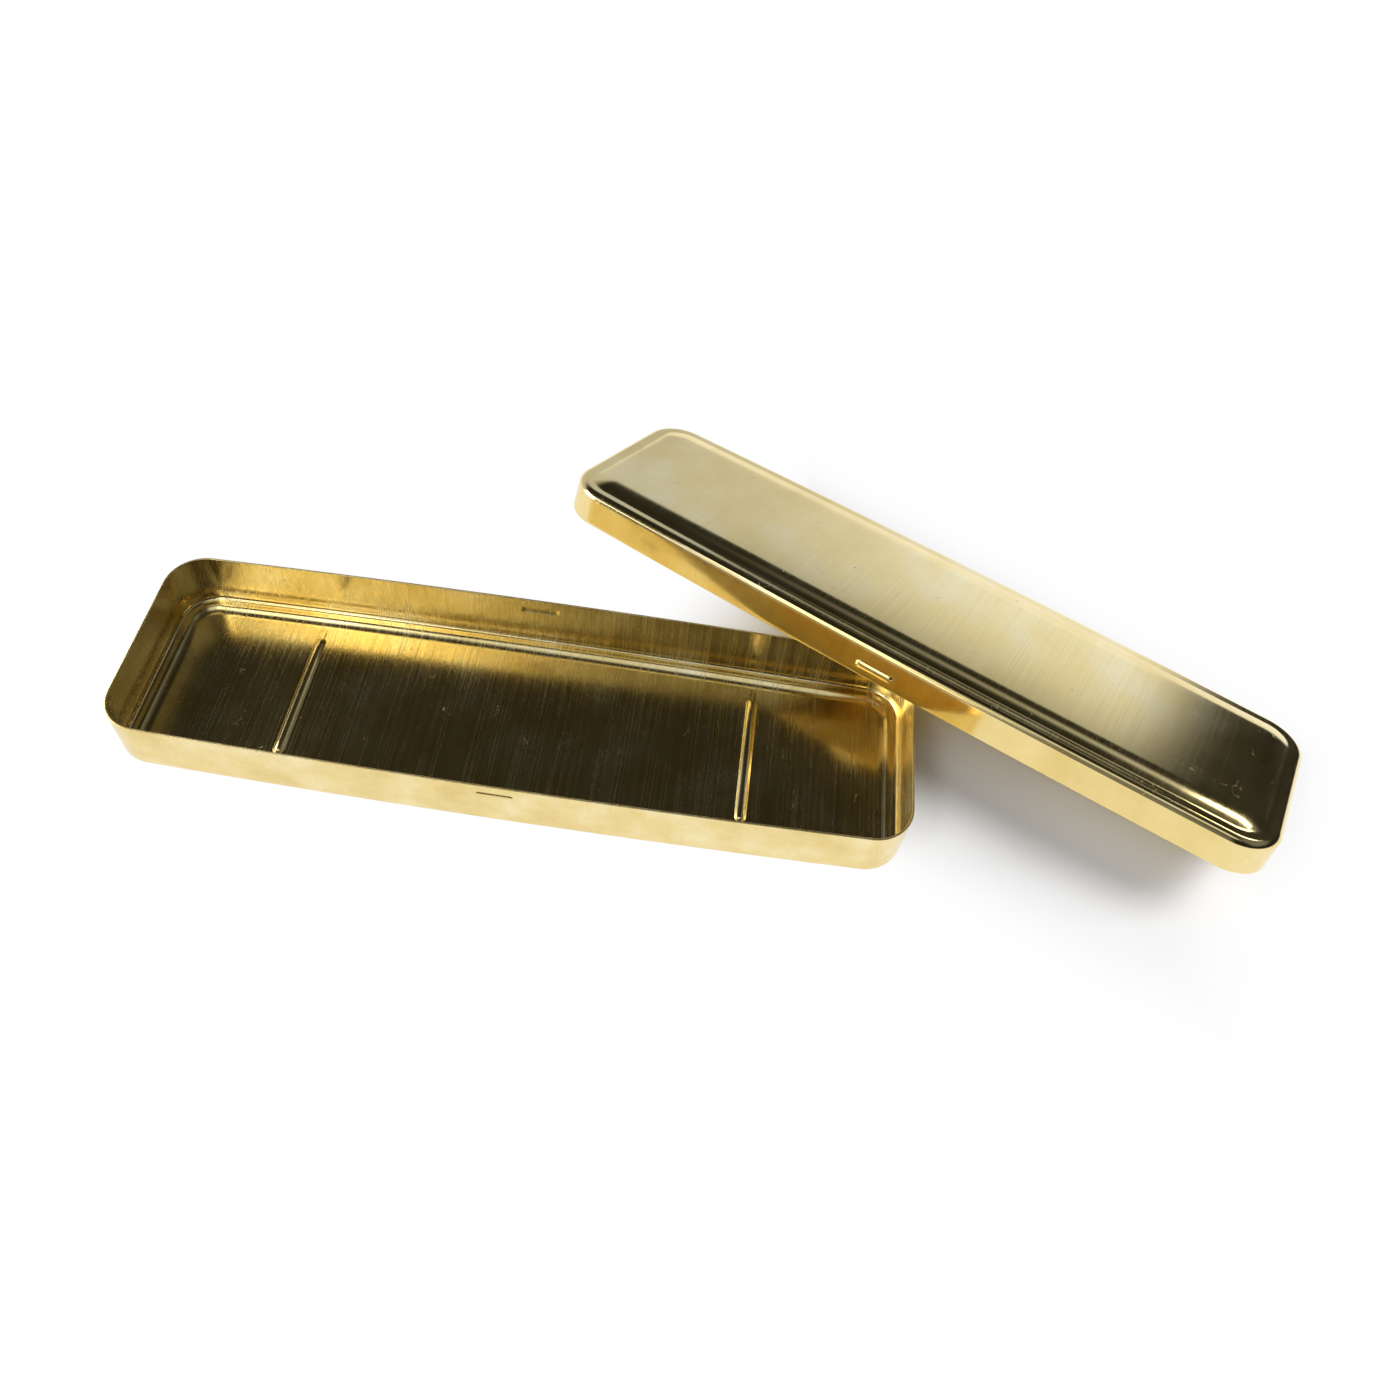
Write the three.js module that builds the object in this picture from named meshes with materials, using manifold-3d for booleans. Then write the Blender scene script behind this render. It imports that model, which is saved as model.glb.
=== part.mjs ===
// Pen case pressed from thin brass sheet: a deep tray and a shallow lift-off lid.
// The lid is modelled taken off, with one long edge on the table and the other on the tray's rim.
// Millimetres, +Z up, origin at the middle of the tray's underside, +X along the tray's length.

import * as THREE from 'three';
import { mergeVertices } from 'three/addons/utils/BufferGeometryUtils.js';
import Module from 'manifold-3d';

const manifold = await Module();
manifold.setup();

// Sheet and press tools, the same for both pieces
const sheet = 0.6;
const edgeRadius = 1.9;
const panelRise = 1;
const panelMargin = 6;
const smallestCornerRadius = 0.6;

// Tray
const trayLength = 200;
const trayWidth = 56.4;
const trayHeight = 17.6;
const trayCornerRadius = 10.2;
const trayDraft = 0.2;
const trayLedge = 0.9;
const sideCrown = 1.2;

// Lid, which slides over the tray's rim
const lidClearance = 0.15;
const lidHeight = 9.6;
const lidDraft = 0.3;
const lidLedge = 1.5;

// Ribs pressed up into the tray's floor, across the case
const ribWidth = 2.6;
const ribRise = 0.8;
const ribLength = 37.4;
const ribSpacing = 119.5;

// Detents pressed outward at the middle of each long wall. Put on, the lid's click over the tray's
// while the rim still has its headroom under the curve inside the lid's edge.
const detentWidth = 2.2;
const detentRise = 0.45;
const detentLength = 10.5;
const detentBelowRim = 4;
const rimHeadroom = 1.2;

// Where the lid lies: its turn, its lean and how far its middle is from the tray's
const lidTurn = THREE.MathUtils.degToRad(-26.5);
const lidRestX = 101.2;
const lidRestY = 43.7;
const restGap = 0.3;

// Facets
const cornerSteps = 12;
const sideSteps = 12;
const edgeSteps = 6;
const marginSteps = 6;
const beadSteps = 12;
const beadCapSteps = 5;

const brass = new THREE.Color(0.76, 0.6, 0.3);

// The case's outline in plan, counter-clockwise, drawn in from the mouth's outer edge by an inset.
// The long sides swell by the crown towards their middle.
function outline(length, width, cornerRadius, inset) {
  const halfLength = length / 2 - inset;
  const halfWidth = width / 2 - inset;
  const radius = Math.max(cornerRadius - inset, smallestCornerRadius);
  const points = [];
  const corners = [[1, 1], [-1, 1], [-1, -1], [1, -1]];
  corners.forEach(([signX, signY], quarter) => {
    const centreX = signX * (halfLength - radius);
    const centreY = signY * (halfWidth - radius);
    for (let step = 0; step <= cornerSteps; step++) {
      const angle = (quarter + step / cornerSteps) * Math.PI / 2;
      points.push([centreX + radius * Math.cos(angle), centreY + radius * Math.sin(angle)]);
    }
    if (signX === signY) {
      const run = halfLength - radius;
      for (let step = 1; step < sideSteps; step++) {
        points.push([signX * run * (1 - 2 * step / sideSteps), signY * halfWidth]);
      }
    }
  });
  const run = length / 2 - cornerRadius;
  return points.map(([x, y]) => {
    const swell = sideCrown * Math.max(0, 1 - (x / run) ** 2);
    return [x, y + Math.sign(y) * swell * Math.abs(y) / halfWidth];
  });
}

// The outer face's section as [inset, height], from the mouth down to the flat of the panel
function sectionPoints(height, draft, ledge) {
  const points = [[0, height]];
  for (let step = 0; step <= edgeSteps; step++) {
    const angle = step / edgeSteps * Math.PI / 2;
    points.push([
      draft + edgeRadius * (1 - Math.cos(angle)),
      panelRise + edgeRadius * (1 - Math.sin(angle)),
    ]);
  }
  const crease = draft + edgeRadius + ledge;
  for (let step = 0; step <= marginSteps; step++) {
    const across = step / marginSteps;
    points.push([crease + panelMargin * across, panelRise * (1 - across) ** 2]);
  }
  return points;
}

// The same section moved inwards by the sheet's thickness, square to the face
function offsetSection(points, thickness) {
  return points.map((point, index) => {
    const before = points[Math.max(index - 1, 0)];
    const after = points[Math.min(index + 1, points.length - 1)];
    const into = new THREE.Vector2(point[0] - before[0], point[1] - before[1]).normalize();
    const outOf = new THREE.Vector2(after[0] - point[0], after[1] - point[1]).normalize();
    if (index === 0) into.copy(outOf);
    if (index === points.length - 1) outOf.set(1, 0);
    const along = into.clone().add(outOf).normalize();
    const spread = thickness / along.dot(outOf);
    const moved = [point[0] - along.y * spread, point[1] + along.x * spread];
    return index === 0 ? [point[0] + thickness, point[1]] : moved;
  });
}

// One closed thin-walled pan, open upwards, standing on its panel at height zero
function pressedPan({ length, width, height, cornerRadius, draft, ledge }) {
  const outerSection = sectionPoints(height, draft, ledge);
  const innerSection = offsetSection(outerSection, sheet);
  const sections = [...outerSection.slice().reverse(), ...innerSection];
  const rings = sections.map(([inset, z]) => {
    return outline(length, width, cornerRadius, inset).map(([x, y]) => [x, y, z]);
  });
  const positions = rings.flat(2);
  const count = rings[0].length;
  const faces = [];
  for (let ring = 0; ring < rings.length - 1; ring++) {
    for (let point = 0; point < count; point++) {
      const next = (point + 1) % count;
      const low = ring * count;
      const high = low + count;
      faces.push(low + point, low + next, high + next, low + point, high + next, high + point);
    }
  }
  const underside = positions.length / 3;
  positions.push(0, 0, sections[0][1], 0, 0, sections[sections.length - 1][1]);
  const lastRing = (rings.length - 1) * count;
  for (let point = 0; point < count; point++) {
    const next = (point + 1) % count;
    faces.push(underside, next, point, underside + 1, lastRing + point, lastRing + next);
  }
  const pan = new THREE.BufferGeometry();
  pan.setAttribute('position', new THREE.Float32BufferAttribute(positions, 3));
  pan.setIndex(faces);
  return pan;
}

function toSolid(geometry) {
  const bare = geometry.clone();
  bare.deleteAttribute('normal');
  bare.deleteAttribute('uv');
  const merged = mergeVertices(bare, 1e-4);
  const corners = Array.from(merged.index.array);
  const faces = [];
  for (let first = 0; first < corners.length; first += 3) {
    const face = corners.slice(first, first + 3);
    if (new Set(face).size === 3) faces.push(...face);
  }
  return new manifold.Manifold(new manifold.Mesh({
    numProp: 3,
    vertProperties: new Float32Array(merged.attributes.position.array),
    triVerts: new Uint32Array(faces),
  }));
}

function toGeometry(solid) {
  const mesh = solid.getMesh();
  const geometry = new THREE.BufferGeometry();
  geometry.setAttribute('position', new THREE.BufferAttribute(mesh.vertProperties, 3));
  geometry.setIndex(new THREE.BufferAttribute(mesh.triVerts, 1));
  geometry.computeVertexNormals();
  return geometry;
}

// Radius of the round bead that stands proud of a flat face by rise and is width across there
function beadRadius(width, rise) {
  return (width ** 2 / 4 + rise ** 2) / (2 * rise);
}

function capsule(radius, length, frame) {
  const geometry = new THREE.CapsuleGeometry(radius, length, beadCapSteps, beadSteps);
  return toSolid(geometry.applyMatrix4(frame));
}

// Presses a round-ended bead out of the sheet. In the bead's own frame the bead runs along Y,
// Z points the way it is pressed, and the face that it rises from is at height zero.
function pressBead(solid, { width, rise, length }, frame) {
  const radius = beadRadius(width, rise);
  const straight = length - width;
  const centre = frame.clone().multiply(new THREE.Matrix4().makeTranslation(0, 0, rise - radius));
  const block = new THREE.BoxGeometry(4 * radius, length + 4 * radius, 4 * radius);
  block.translate(0, 0, 2 * radius - sheet / 2);
  const outside = toSolid(block.applyMatrix4(frame));
  const bump = capsule(radius, straight, centre).intersect(outside);
  const hollow = capsule(radius - sheet, straight, centre);
  return solid.add(bump).subtract(hollow);
}

// Both long walls get a detent: its frame's Z points out of the wall and its Y lies along it
function pressDetents(solid, width, draftSlope, depthBelowMouth, mouthHeight) {
  return [1, -1].reduce((result, side) => {
    const wall = width / 2 + sideCrown - draftSlope * depthBelowMouth;
    const frame = new THREE.Matrix4().makeBasis(
      new THREE.Vector3(0, 0, side),
      new THREE.Vector3(1, 0, 0),
      new THREE.Vector3(0, side, 0),
    );
    frame.setPosition(0, side * wall, mouthHeight - depthBelowMouth);
    const bead = { width: detentWidth, rise: detentRise, length: detentLength };
    return pressBead(result, bead, frame);
  }, solid);
}

function wallSlope(height, draft) {
  return draft / (height - panelRise - edgeRadius);
}

function trayGeometry() {
  const pan = pressedPan({
    length: trayLength,
    width: trayWidth,
    height: trayHeight,
    cornerRadius: trayCornerRadius,
    draft: trayDraft,
    ledge: trayLedge,
  });
  const slope = wallSlope(trayHeight, trayDraft);
  let solid = pressDetents(toSolid(pan), trayWidth, slope, detentBelowRim, trayHeight);
  for (const side of [-1, 1]) {
    const frame = new THREE.Matrix4().makeTranslation(side * ribSpacing / 2, 0, sheet);
    solid = pressBead(solid, { width: ribWidth, rise: ribRise, length: ribLength }, frame);
  }
  return toGeometry(solid);
}

// The lid's mouth clears the tray's rim where the lid is narrowest, just under its rounded edge
const lidGrowth = 2 * (lidClearance + sheet + lidDraft);
const lidLength = trayLength + lidGrowth;
const lidWidth = trayWidth + lidGrowth;
const lidCornerRadius = trayCornerRadius + lidGrowth / 2;
const lidOverall = lidHeight + panelRise;

// How far the lid's mouth reaches below the tray's rim when the detents are in each other
const innerEdgeRadius = edgeRadius - sheet;
const rimReach = Math.sqrt(innerEdgeRadius ** 2 - (innerEdgeRadius - lidClearance) ** 2);
const lidOverlap = lidHeight - edgeRadius + rimReach - rimHeadroom;
const lidDetentAboveMouth = lidOverlap - detentBelowRim;

// Built mouth up like the tray, then turned over so that the mouth is at height zero
function lidGeometry() {
  const pan = pressedPan({
    length: lidLength,
    width: lidWidth,
    height: lidOverall,
    cornerRadius: lidCornerRadius,
    draft: lidDraft,
    ledge: lidLedge,
  });
  const slope = wallSlope(lidOverall, lidDraft);
  const solid = pressDetents(toSolid(pan), lidWidth, slope, lidDetentAboveMouth, lidOverall);
  const geometry = toGeometry(solid);
  geometry.rotateX(Math.PI);
  geometry.translate(0, 0, lidOverall);
  return geometry;
}

// The lid leans across the tray: its far long edge stands on the table, and the near one lies on the
// tray's rim, close to the lid's middle. The lean follows from the rim's height and the lid's width there.
const lidEdgeReach = lidWidth / 2 + sideCrown;
const contactReach = 2 * lidEdgeReach - sheet;
const lidLean = Math.asin((trayHeight + restGap) / contactReach);

function lidPlacement() {
  const placement = new THREE.Group();
  placement.rotation.set(-lidLean, 0, lidTurn, 'ZYX');
  placement.position.set(lidRestX, lidRestY, lidEdgeReach * Math.sin(lidLean));
  return placement;
}

function brassMesh(name, geometry) {
  const material = new THREE.MeshStandardMaterial({ color: brass, roughness: 0.3, metalness: 1 });
  const mesh = new THREE.Mesh(geometry, material);
  mesh.name = name;
  return mesh;
}

const penCase = new THREE.Group();
penCase.add(brassMesh('tray', trayGeometry()));
const lidPlace = lidPlacement();
lidPlace.add(brassMesh('lid', lidGeometry()));
penCase.add(lidPlace);

export default penCase;
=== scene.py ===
"""Pressed brass pen case: a deep tray and a shallow lid that leans across it, on white paper."""

import math

import bpy
import numpy as np
from mathutils import Matrix, Vector


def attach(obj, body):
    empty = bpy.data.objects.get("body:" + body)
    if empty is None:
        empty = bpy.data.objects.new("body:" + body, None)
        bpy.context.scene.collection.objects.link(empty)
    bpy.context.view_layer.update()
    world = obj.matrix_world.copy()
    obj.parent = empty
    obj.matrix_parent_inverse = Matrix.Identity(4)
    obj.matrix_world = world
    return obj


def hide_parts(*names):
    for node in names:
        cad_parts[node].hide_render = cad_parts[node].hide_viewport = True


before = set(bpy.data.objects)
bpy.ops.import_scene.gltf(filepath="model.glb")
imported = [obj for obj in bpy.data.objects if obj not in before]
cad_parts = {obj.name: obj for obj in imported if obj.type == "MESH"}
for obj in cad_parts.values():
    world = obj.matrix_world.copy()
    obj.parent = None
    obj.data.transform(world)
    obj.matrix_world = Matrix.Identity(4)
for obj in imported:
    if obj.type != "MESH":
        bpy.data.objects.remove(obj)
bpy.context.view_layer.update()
mm = 0.001

# Sheet and press tools, the same for both pieces, in millimetres
sheet = 0.6
edge_radius = 1.9
panel_rise = 1
side_crown = 1.2
rim_rounding = 0.24

# Tray
tray_length = 200
tray_width = 56.4
tray_height = 17.6
tray_corner_radius = 10.2
tray_draft = 0.2
tray_ledge = 0.9
tray_margin = 3.4
tray_fillet = 0.7

# Lid, larger than the tray by a clearance, the sheet and its own draft on each side
lid_clearance = 0.15
lid_height = 9.6
lid_draft = 0.3
lid_ledge = 1.5
lid_margin = 7.2
lid_fillet = 1.2
lid_growth = 2 * (lid_clearance + sheet + lid_draft)
lid_length = tray_length + lid_growth
lid_width = tray_width + lid_growth
lid_corner_radius = tray_corner_radius + lid_growth / 2
lid_overall = lid_height + panel_rise

# Ribs across the tray's floor, and the detents in the long walls
rib_width = 2.6
rib_rise = 0.8
rib_length = 37.4
rib_softness = 1.2
rib_spacing = 119.5
detent_width = 2.2
detent_rise = 0.45
detent_length = 10.5
detent_softness = 0.75
detent_below_rim = 4

# How far the closed lid goes over the tray, which sets the height of its detents
rim_headroom = 1.2
inner_edge_radius = edge_radius - sheet
rim_reach = math.sqrt(inner_edge_radius ** 2 - (inner_edge_radius - lid_clearance) ** 2)
lid_overlap = lid_height - edge_radius + rim_reach - rim_headroom
lid_detent_above_mouth = lid_overlap - detent_below_rim

# Where the lid lies, with one long edge on the table and the other over the tray's rim
lid_turn = math.radians(-26.5)
lid_rest_x = 101.2
lid_rest_y = 43.7
rest_gap = 0.3
lid_edge_reach = lid_width / 2 + side_crown
lid_lean = math.asin((tray_height + rest_gap) / (2 * lid_edge_reach - sheet))

# Spacing of the mesh's points, finer around the ribs and detents, with a little room beside them
column_spacing = 3.5
row_spacing = 2.2
wall_spacing = 1.6
fine_spacing = 0.25
fine_wall_spacing = 0.15
rib_end_room = 0.4
detent_end_room = 1
detent_side_room = 0.9

# How many steps each curve of the sheet is made of
corner_steps = 20
edge_steps = 12
fillet_steps = 6
margin_steps = 14

# Ribs are pressed only into what lies lower than this over the panel
rib_zone_height = 0.6

# Points closer than the weld distance become one. Edges sharper than the first angle are rounded, and
# what is still sharper than the second is shaded as an edge.
weld_distance = 0.01
rim_segments = 4
rounded_edge_angle = math.radians(60)
shaded_edge_angle = math.radians(35)


def spread(low, high, spacing, dense, fine):
    """Stations from low to high a spacing apart, and only a fine spacing apart inside the dense spans."""
    rounding_error = 1e-6
    stations = [low]
    while stations[-1] < high - rounding_error:
        here = stations[-1]
        ahead = [start for start, end in dense if here < start < here + spacing]
        if any(start <= here < end for start, end in dense):
            gap = fine
        elif ahead:
            gap = min(ahead) - here
        else:
            gap = spacing
        stations.append(min(here + gap, high))
    return stations


class Bead:
    """A round-ended bead pressed out of the sheet along one straight line.

    Its flanks are steep where the softness is under 1, and run out gently where it is over 1.
    """

    def __init__(self, width, rise, length, softness):
        self.half = width / 2
        self.rise = rise
        self.softness = softness
        self.reach = length / 2 - width / 2

    def height(self, along, across):
        """How far the sheet is pushed out at a place measured from the bead's middle."""
        past_end = np.maximum(np.abs(along) - self.reach, 0)
        distance = np.hypot(past_end, across) / self.half
        return self.rise * np.clip(1 - distance ** 2, 0, None) ** self.softness


class Pan:
    """The outer face of one pressed half of the case, with its mouth up and its panel at height 0."""

    def __init__(self, size, corner_radius, draft, ledge, margin, fillet, detent_height, rib_places):
        self.length, self.width, self.height = size
        self.corner_radius = corner_radius
        self.draft = draft
        self.ledge = ledge
        self.margin = margin
        self.fillet = fillet
        self.detent_height = detent_height
        self.rib_places = rib_places
        self.run = self.length / 2 - corner_radius
        self.short_run = self.width / 2 - corner_radius
        detent_end = detent_length / 2 + detent_end_room
        ribs = [(place - rib_width, place + rib_width) for place in rib_places]
        beads = sorted(ribs + [(-detent_end, detent_end)])
        self.columns = spread(-self.run, self.run, column_spacing, beads, fine_spacing)
        rib_end = rib_length / 2 - rib_width / 2 - rib_end_room
        rib_ends = [(-self.short_run, -rib_end), (rib_end, self.short_run)]
        self.rows = spread(-self.short_run, self.short_run, row_spacing, rib_ends, fine_spacing)

    def section(self):
        """Stations from the mouth down the wall and in over the panel, as inset and height."""
        foot = panel_rise + edge_radius
        detent_reach = detent_width / 2 + detent_side_room
        detent_span = (self.detent_height - detent_reach, self.detent_height + detent_reach)
        heights = spread(foot, self.height, wall_spacing, [detent_span], fine_wall_spacing)
        stations = [(self.draft * (self.height - z) / (self.height - foot), z) for z in reversed(heights)]
        for step in range(1, edge_steps + 1):
            turn = math.radians(90 * step / edge_steps)
            inset = self.draft + edge_radius * (1 - math.cos(turn))
            stations.append((inset, panel_rise + edge_radius * (1 - math.sin(turn))))
        crease = self.draft + edge_radius + self.ledge
        stations += [(crease - self.ledge / 2, panel_rise), (crease, panel_rise)]
        steepest = 2 * panel_rise / self.margin
        for step in range(1, fillet_steps + 1):
            across = self.fillet * step / fillet_steps
            stations.append((crease + across, panel_rise - steepest * across ** 2 / (2 * self.fillet)))
        slope = self.margin - self.fillet
        for step in range(1, margin_steps + 1):
            left = slope * (1 - step / margin_steps)
            stations.append((crease + self.margin - left, steepest * left ** 2 / (2 * slope)))
        stations.append((self.corner_radius, 0))
        return stations

    def outline(self, inset):
        """One ring of the plan, counter-clockwise from where the right-hand end meets the far corner."""
        half_length = self.length / 2 - inset
        half_width = self.width / 2 - inset
        radius = self.corner_radius - inset
        points = []
        for quarter, (sign_x, sign_y) in enumerate(((1, 1), (-1, 1), (-1, -1), (1, -1))):
            for step in range(corner_steps + 1):
                angle = (quarter + step / corner_steps) * math.pi / 2
                x = sign_x * self.run + radius * math.cos(angle)
                y = sign_y * self.short_run + radius * math.sin(angle)
                points.append((x, y))
            if sign_x == sign_y:
                points += [(x, sign_y * half_width) for x in self.columns[1:-1][::-sign_x]]
            else:
                points += [(sign_x * half_length, y) for y in self.rows[1:-1][::sign_x]]
        return points

    def crown_sides(self, points, inset):
        """Bows the long sides outward, most at mid-length, and what lies between them by its share."""
        swell = side_crown * np.clip(1 - (points[:, 0] / self.run) ** 2, 0, None)
        points[:, 1] *= 1 + swell / (self.width / 2 - inset)

    def press_beads(self, points):
        """Pushes the ribs and detents out of the sheet."""
        x, y, z = points.T
        rib = Bead(rib_width, rib_rise, rib_length, rib_softness)
        detent = Bead(detent_width, detent_rise, detent_length, detent_softness)
        on_floor = z < rib_zone_height
        on_wall = (z > panel_rise + edge_radius) & (np.abs(x) < self.run)
        for place in self.rib_places:
            points[:, 2] += np.where(on_floor, rib.height(y, x - place), 0)
        points[:, 1] += np.where(on_wall, np.sign(y) * detent.height(x, z - self.detent_height), 0)

    def faces(self, ring_count, ring_size):
        """Quads between the rings from the mouth inwards, and then over the grid of the panel's middle."""
        quads = []
        for ring in range(ring_count - 1):
            here = ring * ring_size
            below = here + ring_size
            for point in range(ring_size):
                after = (point + 1) % ring_size
                quads.append((here + point, below + point, below + after, here + after))
        row_count = len(self.rows)
        for column in range(len(self.columns) - 1):
            for row in range(row_count - 1):
                here = ring_count * ring_size + column * row_count + row
                quads.append((here, here + 1, here + row_count + 1, here + row_count))
        return quads

    def build(self, name):
        """A mesh that also keeps each point's place on the flat blank that the sheet was pressed from.

        That place is along and across the blank, and how far the point is from the mouth along the sheet.
        """
        stations = self.section()
        runs = [math.dist(here, after) for here, after in zip(stations, stations[1:])]
        from_mouth = np.cumsum([0] + runs)
        core = np.array(self.outline(self.corner_radius))
        outward = (np.array(self.outline(0)) - core) / self.corner_radius
        points = []
        blank = []
        for (inset, z), gone in zip(stations, from_mouth):
            ring = np.array([(x, y, z) for x, y in self.outline(inset)])
            self.crown_sides(ring, inset)
            points.append(ring)
            flat = core + outward * (from_mouth[-1] - gone)
            blank.append(np.column_stack((flat, np.full(len(flat), gone))))
        middle = np.array([(x, y, 0.0) for x in self.columns for y in self.rows])
        self.crown_sides(middle, self.corner_radius)
        points.append(middle)
        blank.append(np.column_stack((middle[:, :2], np.full(len(middle), from_mouth[-1]))))
        points = np.vstack(points)
        self.press_beads(points)
        mesh = bpy.data.meshes.new(name)
        mesh.from_pydata((points * mm).tolist(), [], self.faces(len(stations), len(core)))
        places = mesh.attributes.new("blank_place", "FLOAT_VECTOR", "POINT")
        places.data.foreach_set("vector", (np.vstack(blank) * mm).ravel())
        mesh.validate()
        return mesh


def pressed_piece(name, pan, place):
    """The pan with the sheet's thickness added on its inside and its rim rounded, moved to its place."""
    piece = bpy.data.objects.new(name, pan.build(name))
    bpy.context.scene.collection.objects.link(piece)
    weld = piece.modifiers.new("weld", "WELD")
    weld.merge_threshold = weld_distance * mm
    thickness = piece.modifiers.new("sheet", "SOLIDIFY")
    thickness.thickness = sheet * mm
    thickness.offset = -1
    thickness.use_even_offset = True
    thickness.use_quality_normals = True
    rounding = piece.modifiers.new("rim", "BEVEL")
    rounding.width = rim_rounding * mm
    rounding.segments = rim_segments
    rounding.limit_method = "ANGLE"
    rounding.angle_limit = rounded_edge_angle
    depsgraph = bpy.context.evaluated_depsgraph_get()
    solid = bpy.data.meshes.new_from_object(piece.evaluated_get(depsgraph))
    piece.modifiers.clear()
    piece.data = solid
    solid.transform(place)
    for polygon in solid.polygons:
        polygon.use_smooth = True
    solid.set_sharp_from_angle(angle=shaded_edge_angle)
    return piece


class Socket:
    """A shader value: an expression on sockets adds the Math nodes that it needs."""

    def __init__(self, tree, link):
        self.tree, self.link = tree, link

    def math(self, operation, *values):
        return self.tree.node("ShaderNodeMath", {"operation": operation}, values)

    def __add__(self, other):
        return self.math("ADD", self, other)

    def __radd__(self, other):
        return self.math("ADD", other, self)

    def __sub__(self, other):
        return self.math("SUBTRACT", self, other)

    def __rsub__(self, other):
        return self.math("SUBTRACT", other, self)

    def __mul__(self, other):
        return self.math("MULTIPLY", self, other)

    def __rmul__(self, other):
        return self.math("MULTIPLY", other, self)

    def __truediv__(self, other):
        return self.math("DIVIDE", self, other)

    def __abs__(self):
        return self.math("ABSOLUTE", self)

    def at_least(self, other):
        """The greater of the two."""
        return self.math("MAXIMUM", self, other)

    def at_most(self, other):
        """The smaller of the two."""
        return self.math("MINIMUM", self, other)

    def of(self, output):
        """Another output of the same node."""
        return Socket(self.tree, self.link.node.outputs[output])


class Tree:
    """The node tree of one material or of the world."""

    # The Mix node has several sockets of one name, so its colour sockets go by number
    first_color, second_color, mixed_color = 6, 7, 2

    def __init__(self, owner):
        owner.use_nodes = True
        self.nodes, self.links = owner.node_tree.nodes, owner.node_tree.links
        self.nodes.clear()

    def node(self, kind, settings=None, sockets=(), output=0):
        """Adds a node, sets it up, fills its sockets with values or links, and gives one output."""
        node = self.nodes.new(kind)
        for key, value in (settings or {}).items():
            if key == "stops":
                self.stops(node.color_ramp, value)
            else:
                setattr(node, key, value)
        pairs = sockets.items() if isinstance(sockets, dict) else enumerate(sockets)
        for key, value in pairs:
            if isinstance(value, Socket):
                self.links.new(value.link, node.inputs[key])
            else:
                node.inputs[key].default_value = value
        return Socket(self, node.outputs[output]) if len(node.outputs) else node

    @staticmethod
    def stops(ramp, stops):
        """Gives a colour ramp its stops, each a position and a colour."""
        while len(ramp.elements) < len(stops):
            ramp.elements.new(0.5)
        for element, (position, color) in zip(ramp.elements, stops):
            element.position = position
            element.color = color

    def step(self, value, zero, one):
        """A smooth step from 0 to 1 as the value goes from the first number to the second, up or down."""
        return self.node(
            "ShaderNodeMapRange", {"interpolation_type": "SMOOTHSTEP"},
            {"Value": value, "From Min": zero, "From Max": one},
        )

    def band(self, value, start, full, fade, end):
        """Rises from 0 at start to 1 at full, and falls again from fade to end."""
        return self.step(value, start, full) * self.step(value, end, fade)


def grey(value):
    return (value, value, value, 1)


# Shades of the brass from deep to pale, as a place on the colour ramp and the colour there
brass_shades = [
    (0.36, (0.77, 0.59, 0.22, 1)),
    (0.50, (0.87, 0.69, 0.30, 1)),
    (0.64, (0.95, 0.81, 0.46, 1)),
]


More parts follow.
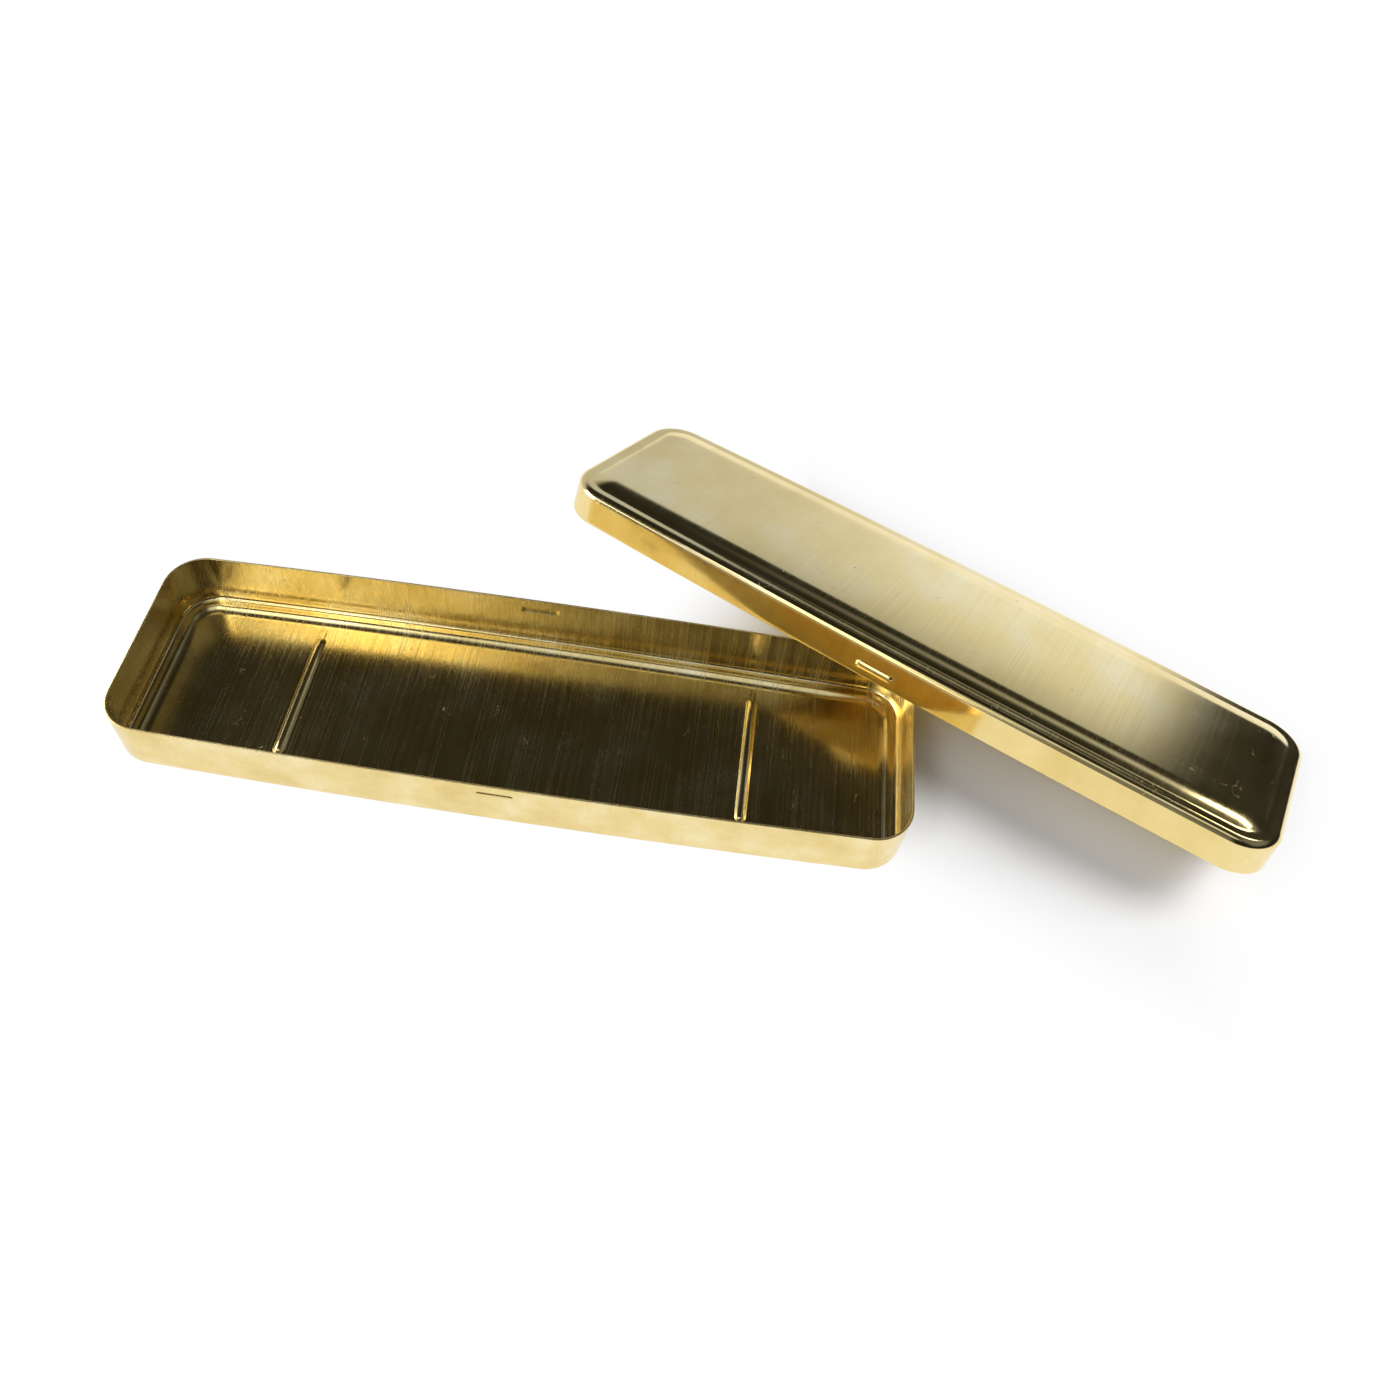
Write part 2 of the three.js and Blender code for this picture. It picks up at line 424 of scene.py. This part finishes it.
def brushed_brass(name, grain, polish, brushing, smudging):
    """Rolled brass sheet, brushed across the case. The pattern lies on the flat blank and bends with it.

    The grain is the depth of the hairlines in metres, and the polish is the roughness of a clean place.
    Brushing and smudging are how much the hairlines and the fingerprints show.
    """
    material = bpy.data.materials.new(name)
    tree = Tree(material)
    blank = tree.node("ShaderNodeAttribute", {"attribute_name": "blank_place"}, output="Vector")
    from_mouth = tree.node("ShaderNodeSeparateXYZ", {}, (blank,), output="Z")
    flat = tree.node("ShaderNodeVectorMath", {"operation": "MULTIPLY"}, (blank, (1, 1, 0)))

    def noise(scale, detail, roughness, stretch=(1, 1, 1)):
        """Noise on the blank, with its scale per metre. A small number in the stretch draws it out there."""
        scaled = tree.node("ShaderNodeMapping", {}, {"Vector": flat, "Scale": stretch})
        return tree.node(
            "ShaderNodeTexNoise", {},
            {"Vector": scaled, "Scale": scale, "Detail": detail, "Roughness": roughness},
        )

    hairlines = noise(2000, 2, 0.6, (1, 0.006, 1))
    fibres = noise(2600, 0, 0.5, (1, 0.01, 1))
    streaks = noise(420, 3, 0.6, (1, 0.015, 1))
    smudges = noise(55, 5, 0.62)
    clouds = noise(14, 3, 0.5, (1, 0.7, 1))
    brushed = tree.step(hairlines, 0.40, 0.66)

    # Thin bowed scratches follow the middle level of one noise, in the places where another is high.
    # Nicks are small dots in the paler clouds.
    wander = noise(260, 2, 0.5)
    worn = noise(120, 2, 0.5)
    spots = {"Vector": flat, "Scale": 110}
    nick_distance = tree.node("ShaderNodeTexVoronoi", {"feature": "F1"}, spots, output="Distance")
    arcs = tree.step(abs(wander - 0.5), 0.0035, 0.001) * tree.step(worn, 0.62, 0.65)
    nicks = tree.step(nick_distance, 0.014, 0.008) * tree.step(clouds, 0.52, 0.55)
    scratches = arcs.at_least(nicks)
    cut_edge = tree.step(from_mouth, 0.06 * mm, 0.03 * mm)

    streaking = 0.05
    clouding = 1 - streaking - brushing - smudging
    tone = brushing * hairlines + streaking * streaks + smudging * smudges + clouding * clouds
    color = tree.node("ShaderNodeValToRGB", {"stops": brass_shades}, {"Fac": tone})
    roughness = polish + 0.08 * smudges + brushing * brushed + 0.4 * scratches + 0.2 * cut_edge
    relief = 0.7 * hairlines + 0.3 * fibres
    bump = tree.node("ShaderNodeBump", {}, {"Strength": 1.0, "Distance": grain, "Height": relief})
    shader = tree.node(
        "ShaderNodeBsdfPrincipled", {},
        {"Base Color": color, "Metallic": 1.0, "Roughness": roughness, "Normal": bump},
    )
    tree.node("ShaderNodeOutputMaterial", {}, {"Surface": shader})
    return material


def white_paper():
    """Paper that is lifted to white where it is seen, directly or mirrored.

    Only the strip that the lid's shadow falls on stays as the lamps light it.
    """
    material = bpy.data.materials.new("white_paper")
    tree = Tree(material)
    lit = tree.node("ShaderNodeBsdfDiffuse", {}, {"Color": grey(0.94)})
    path = tree.node("ShaderNodeLightPath")
    seen = path.of("Is Camera Ray").at_least(path.of("Is Glossy Ray"))
    seen = seen.at_least(path.of("Is Transmission Ray"))
    place = tree.node("ShaderNodeNewGeometry", output="Position")

    def distance(direction):
        """How far a place is from the tray's middle in one direction."""
        dot = {"operation": "DOT_PRODUCT"}
        return tree.node("ShaderNodeVectorMath", dot, (place, direction), output="Value")

    # Each side of the strip, as the distances in metres where the lift begins and where it is full
    along_lid = distance((math.cos(lid_turn), math.sin(lid_turn), 0))
    across_lid = distance((-math.sin(lid_turn), math.cos(lid_turn), 0))
    lift = tree.step(along_lid, 0.155, 0.195)
    lift = lift.at_least(tree.step(along_lid, 0.045, 0.005))
    lift = lift.at_least(tree.step(across_lid, 0.049, 0.017))
    lift = lift.at_least(tree.step(across_lid, 0.092, 0.142))
    glow = tree.node("ShaderNodeEmission", {}, {"Color": grey(1), "Strength": 1.0})
    paper = tree.node("ShaderNodeMixShader", {}, (lift * seen, lit, glow))
    tree.node("ShaderNodeOutputMaterial", {}, {"Surface": paper})
    return material


def make_camera():
    """In front of the case and above it, a little right of its middle, with the picture's centre shifted."""
    place = Vector((44.15, -170.34, 265.5)) * mm
    heading = math.radians(-5.013)
    dip = math.radians(52.069)
    roll = math.radians(4.043)
    picture_pixels = 1400
    focal_pixels = 1196.8
    look = Vector((math.sin(heading) * math.cos(dip), math.cos(heading) * math.cos(dip), -math.sin(dip)))
    data = bpy.data.cameras.new("camera")
    data.sensor_width = 36
    data.lens = data.sensor_width * focal_pixels / picture_pixels
    data.shift_x = 0.0444
    data.shift_y = -0.046
    camera = bpy.data.objects.new("camera", data)
    bpy.context.scene.collection.objects.link(camera)
    turn = look.to_track_quat("-Z", "Y").to_matrix().to_4x4()
    camera.matrix_world = Matrix.Translation(place) @ turn @ Matrix.Rotation(roll, 4, "Z")
    bpy.context.scene.camera = camera


def make_room():
    """A dark room with a pale backdrop behind the table, lower and brighter towards the right.

    All places are in degrees: azimuth from straight behind the case and positive to the right, and
    elevation from the horizon.
    """
    world = bpy.data.worlds.new("room")
    bpy.context.scene.world = world
    tree = Tree(world)
    direction = tree.node("ShaderNodeTexCoord", output="Generated")
    x = tree.node("ShaderNodeSeparateXYZ", {}, (direction,))
    azimuth = x.math("ARCTAN2", x, x.of("Y")) * math.degrees(1)
    elevation = x.of("Z").math("ARCSINE", x.of("Z")) * math.degrees(1)

    # The backdrop's top climbs and softens to the left of azimuth 10
    leftward = (10 - azimuth).at_least(0.0).at_most(30.0)
    below_top = (15.5 + 0.45 * leftward - elevation) / (1.2 + 0.3 * leftward)
    level = (0.54 + 0.0205 * azimuth).at_least(0.60).at_most(1.0)
    backdrop = tree.step(below_top, -1, 1) * tree.band(azimuth, -110, -60, 28.4, 32.6) * level

    # Faint light from the front left, a pale shelf over the backdrop's right end, a dim wall on the
    # right, and the lit ceiling over the front
    spill = 0.2 * tree.band(azimuth, -178, -160, -150, -100) * tree.step(elevation, 68, 55)
    shelf = 0.8 * tree.band(azimuth, 0, 50, 46, 54) * tree.band(elevation, 29, 33, 35, 40)
    wall = 0.15 * tree.band(azimuth, 30, 45, 120, 150) * tree.band(elevation, 22, 32, 60, 70)
    ceiling = 0.8 * tree.band(elevation, 57, 65, 78, 86) * tree.step(abs(azimuth), 130, 155)

    dark = (0.022, 0.021, 0.017, 1)
    pale = (1.0, 1.07, 1.28, 1)
    share = backdrop + spill + shelf + wall + ceiling
    glow = tree.node(
        "ShaderNodeMix", {"data_type": "RGBA"},
        {"Factor": share, Tree.first_color: dark, Tree.second_color: pale},
        output=Tree.mixed_color,
    )
    light = tree.node("ShaderNodeBackground", {}, {"Color": glow, "Strength": 1.0})
    tree.node("ShaderNodeOutputWorld", {}, {"Surface": light})


def lay_table():
    """A square of white paper just under the tray."""
    reach = 1500 * mm
    level = -0.2 * mm
    corners = [(-reach, -reach, level), (reach, -reach, level), (reach, reach, level), (-reach, reach, level)]
    mesh = bpy.data.meshes.new("table")
    mesh.from_pydata(corners, [], [(0, 1, 2, 3)])
    mesh.materials.append(white_paper())
    table = bpy.data.objects.new("table", mesh)
    bpy.context.scene.collection.objects.link(table)


def soft_box(name, place, target, size, radiance, mirrored=True):
    """A lamp of even brightness all over its face. Radiance 1 mirrors as plain white."""
    width, height = size
    data = bpy.data.lights.new(name, "AREA")
    data.shape = "RECTANGLE"
    data.size = width
    data.size_y = height
    data.energy = radiance * math.pi * width * height
    lamp = bpy.data.objects.new(name, data)
    bpy.context.scene.collection.objects.link(lamp)
    lamp.location = place
    lamp.rotation_euler = (Vector(target) - Vector(place)).to_track_quat("-Z", "Y").to_euler()
    lamp.visible_glossy = mirrored


def hang_lamps():
    """A tall window on the left of the case, and three lamps around it."""
    middle = Vector((-0.291, -0.12, 0))
    run = Vector((0.2825, -0.959, 0))
    facing = Vector((0.959, 0.2825, 0))

    # Each pane or bar of the window, as its two ends along the run, its foot and top, and its radiance
    for name, start, end, foot, top, radiance in (
        ("low_pane", -0.27, 0.0, 0.0, 0.25, 5.0),
        ("low_pane_right", 0.0, 0.15, 0.20, 0.25, 3.0),
        ("bar", -0.27, 0.15, 0.25, 0.46, 0.12),
        ("side_pane", 0.15, 0.40, 0.20, 0.34, 2.6),
        ("side_bar", 0.15, 0.40, 0.34, 0.48, 0.25),
        ("high_pane", 0.0, 0.19, 0.48, 0.72, 3.2),
        ("high_pane_right", 0.19, 0.27, 0.51, 0.74, 4.5),
        ("high_pane_end", 0.27, 0.45, 0.61, 0.87, 1.6),
    ):
        place = middle + (start + end) / 2 * run + Vector((0, 0, (foot + top) / 2))
        soft_box(name, place, place + facing, (end - start, top - foot), radiance)

    # The side and front lamps light the paper, and don't show in the brass
    soft_box("back_lamp", (0.274, 0.103, 0.130), (0.19, 0.01, 0.01), (0.05, 0.018), 8)
    soft_box("side_lamp", (0.52, 0.03, 0.38), (0.12, 0, 0), (0.24, 0.24), 12, mirrored=False)
    soft_box("front_lamp", (-0.2, -0.45, 0.5), (0, -0.05, 0), (0.4, 0.4), 2.0, mirrored=False)


make_camera()
make_room()
bpy.context.scene.view_settings.view_transform = "Standard"
lay_table()
hang_lamps()

tray_pan = Pan(
    size=(tray_length, tray_width, tray_height),
    corner_radius=tray_corner_radius,
    draft=tray_draft,
    ledge=tray_ledge,
    margin=tray_margin,
    fillet=tray_fillet,
    detent_height=tray_height - detent_below_rim,
    rib_places=(-rib_spacing / 2, rib_spacing / 2),
)
lid_pan = Pan(
    size=(lid_length, lid_width, lid_overall),
    corner_radius=lid_corner_radius,
    draft=lid_draft,
    ledge=lid_ledge,
    margin=lid_margin,
    fillet=lid_fillet,
    detent_height=lid_overall - lid_detent_above_mouth,
    rib_places=(),
)

# The lid is turned mouth down, leaned, turned on the table and moved to its place
mouth_down = Matrix.Translation((0, 0, lid_overall * mm)) @ Matrix.Rotation(math.pi, 4, "X")
lid_seat = Matrix.Translation(Vector((lid_rest_x, lid_rest_y, lid_edge_reach * math.sin(lid_lean))) * mm)
tray_place = Matrix.Identity(4)
lid_place = lid_seat @ Matrix.Rotation(lid_turn, 4, "Z") @ Matrix.Rotation(-lid_lean, 4, "X") @ mouth_down

tray_finish = {"grain": 0.011 * mm, "polish": 0.14, "brushing": 0.10, "smudging": 0.80}
lid_finish = {"grain": 0.001 * mm, "polish": 0.08, "brushing": 0.03, "smudging": 0.35}

for body, pan, place, finish in (
    ("tray", tray_pan, tray_place, tray_finish),
    ("lid", lid_pan, lid_place, lid_finish),
):
    piece = pressed_piece(body + "_sheet", pan, place)
    piece.data.materials.append(brushed_brass(body + "_brass", **finish))
    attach(piece, body)
    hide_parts(body)
    body + "_brass"
